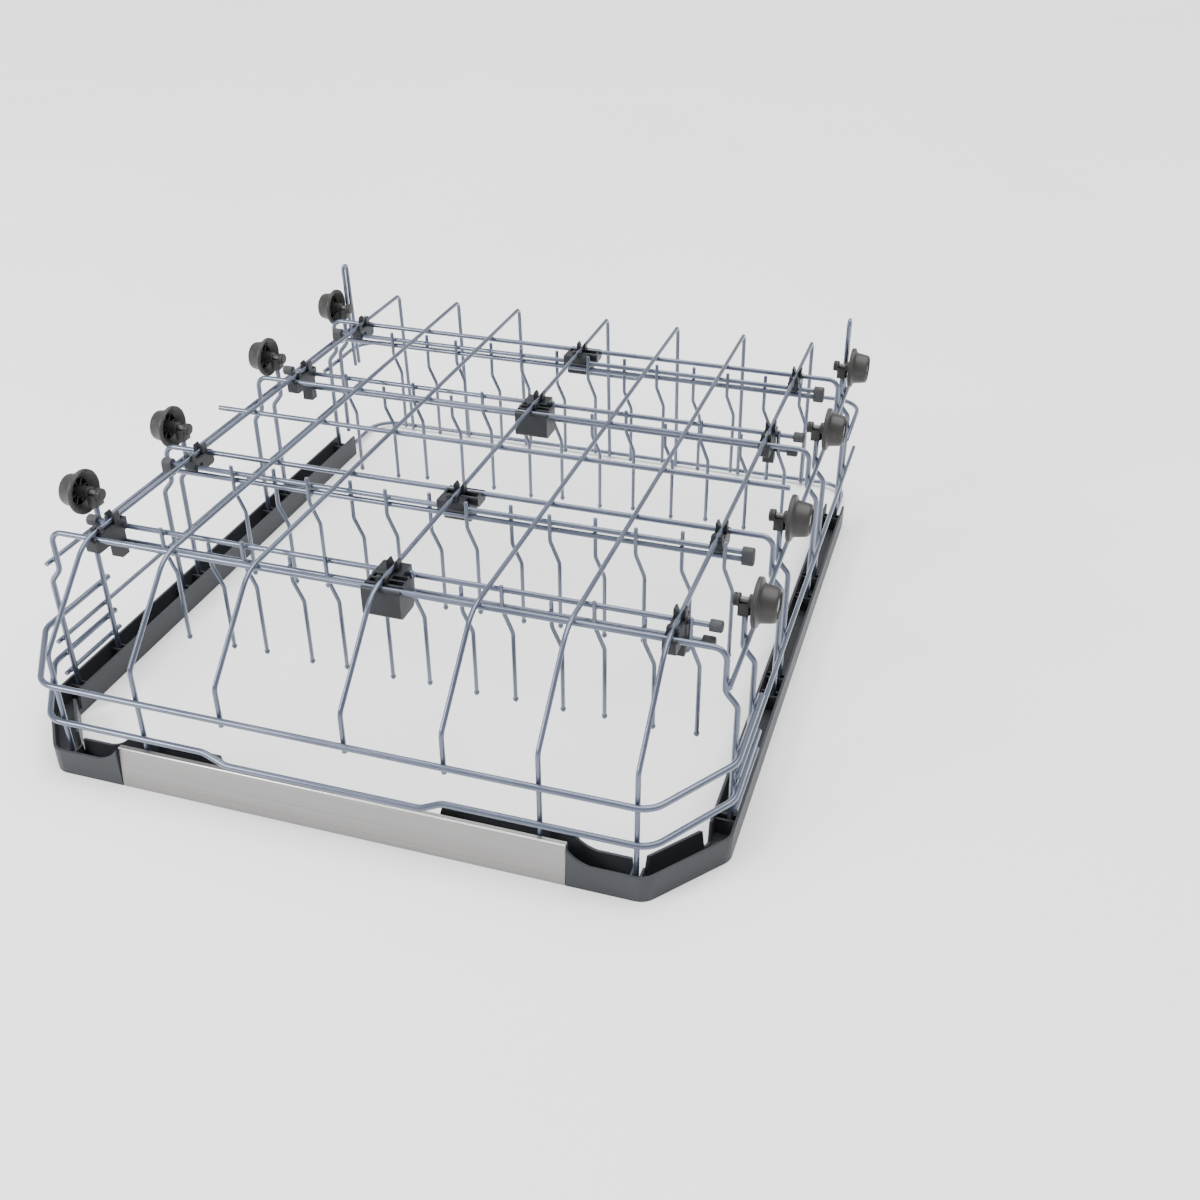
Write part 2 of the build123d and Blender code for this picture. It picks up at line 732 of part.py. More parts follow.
# Hinge clips: moulded blocks that hold floor wire and cross wire, with a ring for the row's upper wire
def hinge_clip(x, cross_y, offset, drop, left, right, bottom, tail):
    """One clip from x - left to x + right, snapped on the cross wire at cross_y."""
    toward = 1 if offset > 0 else -1
    ring_radius = row_wire / 2 + hinge_clearance + ring_wall
    swept = drop + row_wire / 2 + sweep_clearance
    near_u = -toward * clip_front
    far_u = offset - open_arm if tail else offset + swept
    arm_u = offset - arm_setback
    bar_u = offset + toward * ring_radius
    bar_low = hinge_drop - bar_rise
    seat = cross_wire + 2 * grip_clearance
    side_plane = Plane(origin=(x - left, cross_y, floor_z), x_dir=(0, 1, 0), z_dir=(1, 0, 0))
    with BuildPart() as clip:
        with BuildSketch(side_plane) as profile:
            with Locations(((near_u + far_u) / 2, -(clip_seat + bottom) / 2)):
                Rectangle(abs(far_u - near_u), bottom - clip_seat)
            fillet(profile.vertices().group_by(Axis.Z)[0], clip_round)
            with Locations(((bar_u + far_u) / 2, -(clip_seat + bar_low) / 2)):
                Rectangle(abs(bar_u - far_u), bar_low - clip_seat)
            with Locations((offset, -hinge_drop)):
                Circle(ring_radius)
            if tail:
                with Locations(((far_u + arm_u - tail_root) / 2, -(clip_seat + tail) / 2)):
                    Rectangle(arm_u - far_u + tail_root, tail - clip_seat)
                with Locations((offset, -hinge_drop - drop)):
                    Circle(row_wire / 2 + sweep_clearance, mode=Mode.SUBTRACT)
            with Locations((offset, -hinge_drop)):
                Circle(row_wire / 2 + hinge_clearance, mode=Mode.SUBTRACT)
            with Locations((offset + snap_gap / 2, -hinge_drop - snap_gap / 2)):
                Rectangle(2 * snap_gap, snap_gap, rotation=-45, mode=Mode.SUBTRACT)
            with Locations((0, cross_z - floor_z)):
                Circle(seat / 2, mode=Mode.SUBTRACT)
            with Locations((0, cross_z - floor_z + seat / 2)):
                Rectangle(seat, seat, mode=Mode.SUBTRACT)
        extrude(amount=left + right)
        # prongs stand up on both sides of the floor wire and lean over it
        grip = floor_wire / 2 + grip_clearance
        prongs = open_prongs if tail else close_prongs
        for prong_u, depth, height in prongs:
            with BuildSketch(Plane(origin=(x, cross_y + prong_u, floor_z), x_dir=(1, 0, 0), z_dir=(0, -1, 0))):
                for lean in (-1, 1):
                    Polygon(
                        (lean * grip, -clip_seat - prong_root),
                        (lean * grip, prong_neck_z),
                        (lean * (grip - prong_hook), prong_hook_z),
                        (lean * (grip + prong_flare), height),
                        (lean * (grip + prong_wall), height - prong_slope),
                        (lean * (grip + prong_wall), -clip_seat - prong_root),
                        align=None,
                    )
            extrude(amount=depth)
    return clip.part


def middle_clip(x, cross_y, offset, drop, bottom, tail):
    """The larger clip beside the rack's middle: a wider front block with pockets moulded into its top."""
    toward = 1 if offset > 0 else -1
    far_u = middle_block_depth if tail else offset + drop + row_wire / 2 + sweep_clearance
    near_u = -toward * clip_front
    low_u, high_u = sorted((near_u, far_u))
    seat = cross_wire + 2 * grip_clearance
    extra_bottom = bottom if tail else close_extra_bottom
    block_plane = Plane(origin=(x + middle_right, cross_y, floor_z), x_dir=(0, 1, 0), z_dir=(1, 0, 0))
    with BuildPart() as clip:
        add(hinge_clip(x, cross_y, offset, drop, middle_left, middle_right, bottom, tail))
        with BuildSketch(block_plane) as widening:
            with Locations(((low_u + high_u) / 2, -(clip_seat + extra_bottom) / 2)):
                Rectangle(high_u - low_u, extra_bottom - clip_seat)
            fillet(widening.vertices().group_by(Axis.Z)[0], clip_round)
            with Locations((0, cross_z - floor_z)):
                Circle(seat / 2, mode=Mode.SUBTRACT)
            with Locations((0, cross_z - floor_z + seat / 2)):
                Rectangle(seat, seat, mode=Mode.SUBTRACT)
        extrude(amount=middle_extra)
        rows = open_pockets if tail else close_pockets
        with BuildSketch(Plane.XY.offset(floor_z - clip_seat)):
            for pocket_u, length in rows:
                for start, end in ((-middle_left, -pocket_gap), (pocket_gap, middle_right + middle_extra)):
                    wall_start = start + clip_wall if start < 0 else start
                    wall_end = end if end < 0 else end - clip_wall
                    with Locations((x + (wall_start + wall_end) / 2, cross_y + pocket_u + length / 2)):
                        Rectangle(wall_end - wall_start, length)
        extrude(amount=-open_pocket_depth if tail else -close_pocket_depth, mode=Mode.SUBTRACT)
    return clip.part


for letter, wire_y, (offset, drop, shorter) in zip("dcba", cross_ys, row_kinds):
    side_tail = side_clip_tail if shorter else 0
    middle_tail = clip_bottom if shorter else 0
    for side, side_name in ((-1, "left"), (1, "right")):
        side_x = side * long_outer_x
        save(
            hinge_clip(side_x, wire_y, offset, drop, side_left, side_right, side_clip_bottom, side_tail),
            f"hinge_clip_{letter}_{side_name}",
        )
    save(
        middle_clip(long_middle_x, wire_y, offset, drop, clip_bottom, middle_tail),
        f"hinge_clip_{letter}_middle",
    )
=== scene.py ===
import bmesh
import bpy
from math import pi, radians, tan
from mathutils import Matrix, Vector


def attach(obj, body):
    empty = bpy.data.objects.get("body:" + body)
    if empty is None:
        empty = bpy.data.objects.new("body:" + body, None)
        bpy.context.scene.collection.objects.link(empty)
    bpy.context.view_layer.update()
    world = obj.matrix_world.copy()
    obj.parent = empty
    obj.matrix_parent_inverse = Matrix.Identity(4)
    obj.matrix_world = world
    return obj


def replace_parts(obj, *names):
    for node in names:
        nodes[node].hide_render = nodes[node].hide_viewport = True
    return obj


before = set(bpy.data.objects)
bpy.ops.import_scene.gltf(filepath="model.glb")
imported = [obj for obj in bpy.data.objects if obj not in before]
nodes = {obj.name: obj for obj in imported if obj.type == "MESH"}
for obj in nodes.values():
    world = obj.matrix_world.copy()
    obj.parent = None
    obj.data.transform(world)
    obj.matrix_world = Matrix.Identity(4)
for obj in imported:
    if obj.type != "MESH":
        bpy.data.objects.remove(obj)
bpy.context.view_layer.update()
MM = 0.001


# Rim frame: one slate-grey moulding in glass-filled plastic, an open channel round the front and both sides.
# Its walls come from the tool with small rounded edges and a fine spark-eroded grain that dulls the shine.
# The grain is worn a little smoother and lighter where hands and the floor have rubbed it.
def surface(name, tint, shine, coarse, fine, relief, shading, stretch=(1.0, 1.0, 1.0)):
    """A procedural finish: a coarse noise drives its tint and shine, and a fine one its relief."""
    finish = bpy.data.materials.new(name)
    finish.use_nodes = True
    tree = finish.node_tree
    shader = tree.nodes["Principled BSDF"]
    for label, value in shading.items():
        shader.inputs[label].default_value = value
    place = tree.nodes.new("ShaderNodeTexCoord")
    drawn_out = tree.nodes.new("ShaderNodeMapping")
    drawn_out.inputs["Scale"].default_value = stretch
    tree.links.new(place.outputs["Object"], drawn_out.inputs["Vector"])
    noises = []
    for scale, detail in (coarse, fine):
        noise = tree.nodes.new("ShaderNodeTexNoise")
        noise.inputs["Scale"].default_value = scale
        noise.inputs["Detail"].default_value = detail
        tree.links.new(drawn_out.outputs["Vector"], noise.inputs["Vector"])
        noises.append(noise)
    patches, grains = noises
    colours = tree.nodes.new("ShaderNodeValToRGB")
    for stop, (position, colour) in zip(colours.color_ramp.elements, tint):
        stop.position = position
        stop.color = (*colour, 1.0)
    roughness = tree.nodes.new("ShaderNodeMapRange")
    for label, value in zip(("From Min", "From Max", "To Min", "To Max"), shine):
        roughness.inputs[label].default_value = value
    bumps = tree.nodes.new("ShaderNodeBump")
    bumps.inputs["Strength"].default_value, bumps.inputs["Distance"].default_value = relief
    tree.links.new(patches.outputs["Fac"], colours.inputs["Fac"])
    tree.links.new(patches.outputs["Fac"], roughness.inputs["Value"])
    tree.links.new(grains.outputs["Fac"], bumps.inputs["Height"])
    tree.links.new(colours.outputs["Color"], shader.inputs["Base Color"])
    tree.links.new(roughness.outputs["Result"], shader.inputs["Roughness"])
    tree.links.new(bumps.outputs["Normal"], shader.inputs["Normal"])
    return finish


def plastic(name, dark, light, patch, rough, grain, grain_depth, metallic=0.0):
    """A moulded plastic: soft colour patches, uneven shine and a fine grain."""
    return surface(
        name,
        tint=((0.32, dark), (0.70, light)),
        shine=(0.3, 0.7, *rough),
        coarse=(patch, 5.0),
        fine=(grain, 3.0),
        relief=(grain_depth, 0.3 * MM),
        shading={"Specular IOR Level": 0.3, "Metallic": metallic},
    )


def dress(piece, finish):
    """Gives a piece one finish."""
    piece.data.materials.clear()
    piece.data.materials.append(finish)


def rounded(name, node, body, finish, edge):
    """A copy of a moulded node with its edges rounded, standing for the node."""
    shape = bmesh.new()
    shape.from_mesh(nodes[node].data)
    bmesh.ops.remove_doubles(shape, verts=shape.verts, dist=0.01 * MM)
    bmesh.ops.dissolve_limit(shape, angle_limit=radians(1.0), verts=shape.verts, edges=shape.edges)
    bmesh.ops.recalc_face_normals(shape, faces=shape.faces)
    piece = bpy.data.objects.new(name, bpy.data.meshes.new(name))
    shape.to_mesh(piece.data)
    shape.free()
    bpy.context.scene.collection.objects.link(piece)
    round_edges = piece.modifiers.new("edges", "BEVEL")
    round_edges.width = edge
    round_edges.segments = 2
    round_edges.limit_method = "ANGLE"
    round_edges.angle_limit = radians(32.0)
    round_edges.harden_normals = True
    dress(piece, finish)
    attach(piece, body)
    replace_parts(piece, node)
    return piece


slate_plastic = plastic(
    "slate_plastic", (0.024, 0.026, 0.030), (0.037, 0.040, 0.045),
    patch=9.0, rough=(0.42, 0.58), grain=1900.0, grain_depth=0.22,
)
rounded("rim_moulding", "rim_frame", "rack", slate_plastic, 0.45 * MM)


# Handle strip: a thin sheet of stainless steel hooked over the handle, brushed along its length.
# The brushing draws long fine streaks, which carry both the tint and the relief.
BRUSHING = (1.0, 6.0)
brushed_steel = surface(
    "brushed_strip_steel",
    tint=((0.3, (0.265, 0.257, 0.25)), (0.75, (0.325, 0.316, 0.31))),
    shine=(0.0, 1.0, 0.34, 0.50),
    coarse=BRUSHING,
    fine=BRUSHING,
    relief=(0.06, 0.2 * MM),
    shading={"Metallic": 1.0, "Anisotropic": 0.55},
    stretch=(6.0, 900.0, 900.0),
)
rounded("handle_sheet", "handle_strip", "rack", brushed_steel, 0.25 * MM)


# Wires: hard-drawn steel rod, bent cold, welded at every crossing and then coated in silvery blue-grey nylon.
# The coating is smooth and satin, with a faint orange peel, and paler where it has run thin on a bend.
coated = surface(
    "silver_blue_coating",
    tint=((0.3, (0.065, 0.080, 0.120)), (0.72, (0.116, 0.136, 0.188))),
    shine=(0.0, 1.0, 0.20, 0.36),
    coarse=(14.0, 4.0),
    fine=(650.0, 2.0),
    relief=(0.10, 0.2 * MM),
    shading={"Metallic": 0.55, "Coat Weight": 0.6, "Coat Roughness": 0.14},
)


def push(shape, edges, step):
    """Draws an open ring of edges on along a straight, and gives the new ring."""
    grown = bmesh.ops.extrude_edge_only(shape, edges=edges)["geom"]
    ends = [g for g in grown if isinstance(g, bmesh.types.BMVert)]
    bmesh.ops.translate(shape, verts=ends, vec=step)
    return [g for g in grown if isinstance(g, bmesh.types.BMEdge)]


def nose(shape, edges, along, radius):
    """Closes a wire's end with the rounded nose that the coating leaves."""
    for forward, width in ((0.22, 0.90), (0.16, 0.66)):
        edges = push(shape, edges, along * radius * forward)
        verts = list({v for e in edges for v in e.verts})
        middle = sum((v.co for v in verts), Vector()) / len(verts)
        bmesh.ops.scale(shape, vec=(width, width, width), space=Matrix.Translation(-middle), verts=verts)
    bmesh.ops.edgeloop_fill(shape, edges=edges)


def bend_wire(shape, points, radii, diameter, sides=14):
    """Draws one wire: a round section pushed along each straight and spun round each bend."""
    points = [Vector(p) * MM for p in points]
    radius = diameter / 2 * MM
    nose_length = radius * 0.38
    along = (points[1] - points[0]).normalized()
    here = points[0] + along * nose_length
    turn = along.to_track_quat("Z", "Y").to_matrix().to_4x4()
    ring = bmesh.ops.create_circle(
        shape, segments=sides, radius=radius, matrix=Matrix.Translation(here) @ turn,
    )
    first = list({e for v in ring["verts"] for e in v.link_edges})
    edges = first
    for corner, bend, after in zip(points[1:-1], radii, points[2:]):
        onward = (after - corner).normalized()
        angle = along.angle(onward)
        back = bend * MM * tan(angle / 2)
        edges = push(shape, edges, corner - along * back - here)
        here = corner - along * back
        inward = (onward - along * along.dot(onward)).normalized()
        spun = bmesh.ops.spin(
            shape, geom=edges, cent=here + inward * bend * MM, axis=along.cross(onward), angle=angle,
            steps=max(3, round(angle * 6)),
        )["geom_last"]
        edges = [g for g in spun if isinstance(g, bmesh.types.BMEdge)]
        here = corner + onward * back
        along = onward
    edges = push(shape, edges, points[-1] - along * nose_length - here)
    nose(shape, edges, along, radius)
    nose(shape, first, (points[0] - points[1]).normalized(), radius)


def finish_piece(name, shape, body, finish):
    """Turns a drawn shape into a smooth-shaded piece."""
    bmesh.ops.recalc_face_normals(shape, faces=shape.faces)
    for face in shape.faces:
        face.smooth = True
    piece = bpy.data.objects.new(name, bpy.data.meshes.new(name))
    shape.to_mesh(piece.data)
    shape.free()
    bpy.context.scene.collection.objects.link(piece)
    dress(piece, finish)
    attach(piece, body)
    return piece


DRESSED_AS_THEY_ARE = (
    "lengthwise_wire", "side_wires", "cross_wire_middle", "upper_rim_wire", "lower_back_wire",
)
for name in [n for n in nodes if n.startswith(DRESSED_AS_THEY_ARE)]:
    dress(nodes[name], coated)


# Lower rim wire: the thick rod round the front, which ends along both sides behind the first wheel posts.
# Behind the handle it steps forward and down in a gentle joggle, pressed after the corners were bent.
FRONT_Y = -294.9
LOWER_RIM_Z = 42.6
JOGGLE_Y, JOGGLE_Z = -299.5, 39.1


def mirrored(half):
    """The points of a right half again on the left, in the order in which the wire runs on."""
    return [(-x, y, z) for x, y, z in half[::-1]]


rim_half = [(258.4, -158.1, LOWER_RIM_Z), (258.4, -234.8, LOWER_RIM_Z), (218.5, FRONT_Y, LOWER_RIM_Z)]
joggle = [
    (79.0, FRONT_Y, LOWER_RIM_Z), (66.0, JOGGLE_Y, JOGGLE_Z), (-76.0, JOGGLE_Y, JOGGLE_Z),
    (-96.0, FRONT_Y, LOWER_RIM_Z),
]
lower_rim = bmesh.new()
bend_wire(lower_rim, rim_half + joggle + mirrored(rim_half), [20, 20, 14, 14, 18, 18, 20, 20], 4.6, 16)
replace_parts(finish_piece("rim_rod", lower_rim, "rack", coated), "lower_rim_wire")


# Strip edge: the strip's folded top edge, a narrow bead along the whole sheet.
# It is rounded over by the fold, and its steel is coloured near-white as a painted highlight, so it shows as
# a light line.
STRIP_END_X, STRIP_EDGE_Y, STRIP_EDGE_Z = 163.8, -296.5, 31.4
# Painted highlight: the bead's steel is near-white, far paler than the strip's own brushed steel.
painted_edge_highlight = plastic(
    "painted_highlight_steel", (0.80, 0.79, 0.78), (0.92, 0.91, 0.90),
    patch=30.0, rough=(0.22, 0.34), grain=1600.0, grain_depth=0.04, metallic=1.0,
)
folded_edge = bmesh.new()
edge_ends = [(x, STRIP_EDGE_Y, STRIP_EDGE_Z) for x in (-STRIP_END_X, STRIP_END_X)]
bend_wire(folded_edge, edge_ends, [], 1.2, 8)
finish_piece("strip_edge", folded_edge, "rack", painted_edge_highlight)


# Upper back wire: one rod across the rear, bent forward round both corners and welded outside the legs.
# It dips a little at the middle floor wire.
BACK_Y, BACK_Z = 294.55, 96.6
DIP_Y, DIP_Z = 294.84, 91.6
back_corner = [(258.1, 208.1, BACK_Z), (258.1, BACK_Y, BACK_Z)]
dip = [(46.5, BACK_Y, BACK_Z), (37.5, DIP_Y, DIP_Z), (-16.5, DIP_Y, DIP_Z), (-25.5, BACK_Y, BACK_Z)]
back_rod = bmesh.new()
bend_wire(back_rod, back_corner + dip + mirrored(back_corner), [24, 9, 9, 9, 9, 24], 4.0)
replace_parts(finish_piece("back_rod", back_rod, "rack", coated), "upper_back_wire")


# Rear prongs: two thin hairpins that stand up at the rear corners and lean slightly forward.
# Each is one wire folded back on itself, with both ends welded inside the hip wire.
PRONG_X, PRONG_HALF_GAP = 245.6, 3.9
PRONG_LOW_Y, PRONG_LOW_Z = 254.5, 88.0
PRONG_TOP_Y, PRONG_TOP_Z = 248.5, 192.0
hairpins = bmesh.new()
for x in (-PRONG_X, PRONG_X):
    hairpin = [
        (x, PRONG_LOW_Y + PRONG_HALF_GAP, PRONG_LOW_Z), (x, PRONG_TOP_Y + PRONG_HALF_GAP, PRONG_TOP_Z),
        (x, PRONG_TOP_Y - PRONG_HALF_GAP, PRONG_TOP_Z), (x, PRONG_LOW_Y - PRONG_HALF_GAP, PRONG_LOW_Z),
    ]
    bend_wire(hairpins, hairpin, [3.7, 3.7], 3.6)
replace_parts(finish_piece("hairpins", hairpins, "rack", coated), "rear_prongs")


# Cross wires: the four hoops that carry the floor, bent down at both sides into the rim.
# Half way down each leg steps outwards in a small S, so that the rim wires sit flush with the rail.
LEG_X, LEG_LOW_X = 245.3, 254.0
LEG_STEP = ((LEG_LOW_X, 107.0), (LEG_X, 117.4))
CROSS_WIRE = 4.2
CROSS_Z = 149.1
RIM_FLOOR_Z = 2.5
CROSS_YS = {"d": -220.9, "c": -75.9, "b": 69.1, "a": 214.1}


def leg(side, y, foot, top):
    """One leg's points, from its foot up to its top, with the outward step."""
    return [(side * LEG_LOW_X, y, foot)] + [(side * x, y, z) for x, z in LEG_STEP] + [(side * LEG_X, y, top)]


for letter, y in CROSS_YS.items():
    hoop = bmesh.new()
    right_leg = leg(1, y, RIM_FLOOR_Z, CROSS_Z)
    bend_wire(hoop, right_leg + mirrored(right_leg), [8, 8, 9, 9, 8, 8], CROSS_WIRE)
    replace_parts(finish_piece(f"hoop_{letter}", hoop, "rack", coated), f"cross_wire_{letter}")


# Wheel posts: short wires of the same rod, one under each wheel bracket, stepped like the legs.
# Their lower ends stand in the rim between two ribs, and the rearmost pair ends above the rail.
WHEEL_YS = (-169.1, -51.7, 103.2, 236.7)
RAIL_END_Y = 227.6
BEHIND_RAIL_Z = 20.0
POST_TOP_Z = 149.4
for side, hand in ((-1, "left"), (1, "right")):
    posts = bmesh.new()
    for y in WHEEL_YS:
        foot = RIM_FLOOR_Z if y < RAIL_END_Y else BEHIND_RAIL_Z
        bend_wire(posts, leg(side, y, foot, POST_TOP_Z), [8, 8], CROSS_WIRE)
    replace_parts(finish_piece(f"posts_{hand}", posts, "rack", coated), f"wheel_posts_{hand}")


# Weld pools: at each crossing the two wires are fused under pressure and current.
# The coating gathers there in a small smooth fillet.
LONG_XS = (-209.0, -144.75, -80.5, 10.5, 80.5, 144.75, 209.0)
SHORT_WIRE_X = 100
MIDDLE_WIRE_Y = 1.2
FLOOR_WELD_Z, HIP_WELD_Z, UPPER_RIM_Z, RUNG_Z, LOW_RUNG_Z = 151.2, 125.3, 73.0, 55.7, 27.0
LEG_FACE_X, HIP_FACE_X, FRONT_WELD_Y = 256.1, 247.4, -294.8
FLOOR_POOL, FRONT_POOL = (2.0, 2.2, 1.3), (2.0, 1.3, 2.1)
SIDE_POOL, RUNG_POOL, HIP_POOL = (1.3, 2.2, 2.3), (1.2, 2.1, 1.9), (1.2, 2.0, 1.9)


def pool(shape, x, y, z, size):
    """A small round swelling with the given half sizes."""
    place = Matrix.Translation(Vector((x, y, z)) * MM) @ Matrix.Diagonal((*[s * MM for s in size], 1.0))
    bmesh.ops.create_icosphere(shape, subdivisions=2, radius=1.0, matrix=place)


pools = bmesh.new()
for x in LONG_XS:
    for y in list(CROSS_YS.values()) + [MIDDLE_WIRE_Y]:
        pool(pools, x, y, FLOOR_WELD_Z, FLOOR_POOL)
for side in (-1, 1):
    for y in (CROSS_YS["d"], WHEEL_YS[0]):
        pool(pools, side * LEG_FACE_X, y, UPPER_RIM_Z, SIDE_POOL)
        pool(pools, side * LEG_FACE_X, y, LOWER_RIM_Z, SIDE_POOL)
        pool(pools, side * LEG_FACE_X, y, LOW_RUNG_Z, RUNG_POOL)
    for y in list(CROSS_YS.values()) + list(WHEEL_YS):
        pool(pools, side * LEG_FACE_X, y, RUNG_Z, RUNG_POOL)
        pool(pools, side * HIP_FACE_X, y, HIP_WELD_Z, HIP_POOL)
for x in LONG_XS:
    pool(pools, x, FRONT_WELD_Y, UPPER_RIM_Z, FRONT_POOL)
    if abs(x) > SHORT_WIRE_X:
        pool(pools, x, FRONT_WELD_Y, LOWER_RIM_Z, FRONT_POOL)
finish_piece("weld_pools", pools, "rack", coated)


# Tine rows: two long straight wires and thirteen tines, welded alternately in front of them and behind.
# Each tine drops straight, steps sideways in a smooth S and hangs on to a bead of coating at its lower end.
# Per row: the hinge wire's y, the second wire's drop, how much shorter it is at each end, and the height
# above the hinge wire at which the front tines and the rear tines begin.
HINGE_Z = 145.3
ROW_LEFT_X, ROW_RIGHT_X, ROW_WIRE = -234.0, 235.0, 4.0
ROWS = {
    "d": (-191.8, 13.1, 4.4, 5.4, -5.2),
    "c": (-95.5, 5.7, 0.0, 8.2, 7.0),
    "b": (98.2, 13.1, 4.4, 5.4, -5.2),
    "a": (194.5, 5.7, 0.0, 8.2, 7.0),
}
TINES, FIRST_TINE_X, TINE_PITCH = 13, -165.0, 32.3
TINE_WIRE, TINE_STEP, TINE_BEND, TINE_BEAD = 3.1, 7, 9, 2.15
WELD_OFFSET = 3.55
# Below the hinge wire: where the S begins and the tine ends, and between them the S's own height
FRONT_TINE, REAR_TINE = (13.5, 87.9, 17.4), (25.2, 94.4, 15.7)
for letter, (y, drop, short, front_top, rear_top) in ROWS.items():
    row = bmesh.new()
    bend_wire(row, [(ROW_LEFT_X, y, HINGE_Z), (ROW_RIGHT_X, y, HINGE_Z)], [], ROW_WIRE)
    second_z = HINGE_Z - drop
    bend_wire(row, [(ROW_LEFT_X + short, y, second_z), (ROW_RIGHT_X - short, y, second_z)], [], ROW_WIRE)
    for number in range(TINES):
        front = number % 2 == 0
        x = FIRST_TINE_X + TINE_PITCH * number
        upper_x = x - TINE_STEP
        side_y = y + (-WELD_OFFSET if front else WELD_OFFSET)
        top = HINGE_Z + (front_top if front else rear_top)
        bend_below, end_below, fall = FRONT_TINE if front else REAR_TINE
        bend_z = HINGE_Z - bend_below
        end_z = HINGE_Z - end_below
        path = [
            (upper_x, side_y, top), (upper_x, side_y, bend_z), (x, side_y, bend_z - fall), (x, side_y, end_z),
        ]
        bend_wire(row, path, [TINE_BEND, TINE_BEND], TINE_WIRE, 12)
        pool(row, x, side_y, end_z + TINE_BEAD, (TINE_BEAD, TINE_BEAD, TINE_BEAD))
        for wire_z in (HINGE_Z, second_z):
            if wire_z < top:
                pool(row, upper_x, side_y + (1.9 if front else -1.9), wire_z, (2.2, 1.1, 2.2))
    piece = finish_piece(f"tines_{letter}", row, f"tine_row_{letter}", coated)
    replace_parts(piece, f"tine_row_{letter}")


# End caps: soft grey caps pushed over the ends of the row wires, so that they don't scratch the tub.
# Rows d and b have a single cap on each wire end, rows c and a a double one over both wires.
soft_cap = plastic(
    "soft_grey_cap", (0.030, 0.031, 0.035), (0.048, 0.050, 0.055),
    patch=60.0, rough=(0.5, 0.62), grain=2400.0, grain_depth=0.15,
)
for letter in ROWS:
    row_name = f"tine_row_{letter}"
    rounded(f"caps_{letter}", f"{row_name}_caps", row_name, soft_cap, 0.3 * MM)


# Hinge clips: dark acetal mouldings that grip the floor wire between two hooked prongs and sit over the cross
# wire. The open ring below lets the tine row turn, and pockets in the top keep the walls of the block even.
clip_plastic = plastic(
    "dark_acetal", (0.010, 0.011, 0.014), (0.018, 0.020, 0.024),
    patch=40.0, rough=(0.36, 0.50), grain=1600.0, grain_depth=0.12,
)
for letter in ROWS:
    for place in ("left", "middle", "right"):
        clip_name = f"{letter}_{place}"
        hinge_clip = f"hinge_clip_{clip_name}"
        rounded(f"clip_{clip_name}", hinge_clip, "rack", clip_plastic, 0.3 * MM)


# Wheels: grey mouldings with a flange towards the rack and a narrower drum that rolls on the tub's rail.
# The drum's end is sunk behind a rounded rim, and eight thin ribs join its wall to the hub around the pin.
wheel_plastic = plastic(
    "wheel_grey", (0.024, 0.023, 0.022), (0.039, 0.037, 0.035),
    patch=45.0, rough=(0.34, 0.50), grain=1500.0, grain_depth=0.12,
)
WHEEL_Z = 153.5
IN_X, OUT_X = 251.2, 267.4
BORE = 2.56
WHEEL_PROFILE = (
    (IN_X, 15.9), (IN_X + 0.2, 16.7), (IN_X + 0.8, 17.1), (IN_X + 1.3, 16.8), (IN_X + 1.7, 16.8),
    (IN_X + 2.1, 17.1), (IN_X + 3.2, 17.0), (IN_X + 3.8, 16.4), (IN_X + 4.1, 15.3), (IN_X + 4.6, 14.2),
    (IN_X + 5.6, 13.4), (OUT_X - 3.6, 12.3), (OUT_X - 2.0, 12.0), (OUT_X - 0.8, 11.4), (OUT_X - 0.1, 10.3),
    (OUT_X - 0.2, 9.4), (OUT_X - 2.4, 9.0), (OUT_X - 2.4, 5.4), (OUT_X - 1.4, 5.0), (OUT_X - 1.4, 3.4),
    (OUT_X - 2.4, BORE), (IN_X - 0.3, BORE), (IN_X - 0.3, 4.5), (IN_X + 6.0, 4.8), (OUT_X - 4.2, 5.0),
    (OUT_X - 4.2, 10.0), (IN_X + 5.4, 10.2), (IN_X + 3.4, 12.0), (IN_X + 0.5, 15.1),
)
RIBS = 8
# A rib's middle along the axle, its middle's distance from the axle, and its three sizes
OUTER_RIB = (OUT_X - 1.9, 7.2, (1.4, 0.9, 4.4))
INNER_RIB = (IN_X + 9.0, 7.4, (6.0, 0.9, 5.4))


def spin_profile(shape, side, y, profile, steps):
    """Turns a closed outline of (x, radius) pairs about a wheel's axle."""
    verts = [shape.verts.new(Vector((side * x, y, WHEEL_Z + r)) * MM) for x, r in profile]
    edges = [shape.edges.new((a, b)) for a, b in zip(verts, verts[1:] + verts[:1])]
    axle = Vector((0, y, WHEEL_Z)) * MM
    bmesh.ops.spin(
        shape, geom=verts + edges, cent=axle, axis=(1, 0, 0), angle=2 * pi, steps=steps, use_merge=True,
    )


def split_corners(piece):
    """Keeps a turned piece's sharp corners crisp under its smooth shading."""
    piece.modifiers.new("edges", "EDGE_SPLIT").split_angle = radians(38.0)


def box(size):
    """The matrix that makes a unit cube a block of these sizes."""
    return Matrix.Diagonal((*[s * MM for s in size], 1.0))


for side, hand in ((-1, "left"), (1, "right")):
    for number, y in enumerate(WHEEL_YS, start=1):
        roller = bmesh.new()
        spin_profile(roller, side, y, WHEEL_PROFILE, 48)
        for rib in range(RIBS):
            turn = Matrix.Rotation(rib * 2 * pi / RIBS + 0.2, 4, "X")
            for rib_x, rib_radius, size in (OUTER_RIB, INNER_RIB):
                middle = Matrix.Translation(Vector((side * rib_x, y, WHEEL_Z)) * MM)
                lift = Matrix.Translation(Vector((0, 0, rib_radius)) * MM)
                bmesh.ops.create_cube(roller, size=1.0, matrix=middle @ turn @ lift @ box(size))
        wheel = f"wheel_{hand}_{number}"
        piece = finish_piece(f"roller_{hand}_{number}", roller, wheel, wheel_plastic)
        split_corners(piece)
        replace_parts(piece, wheel)


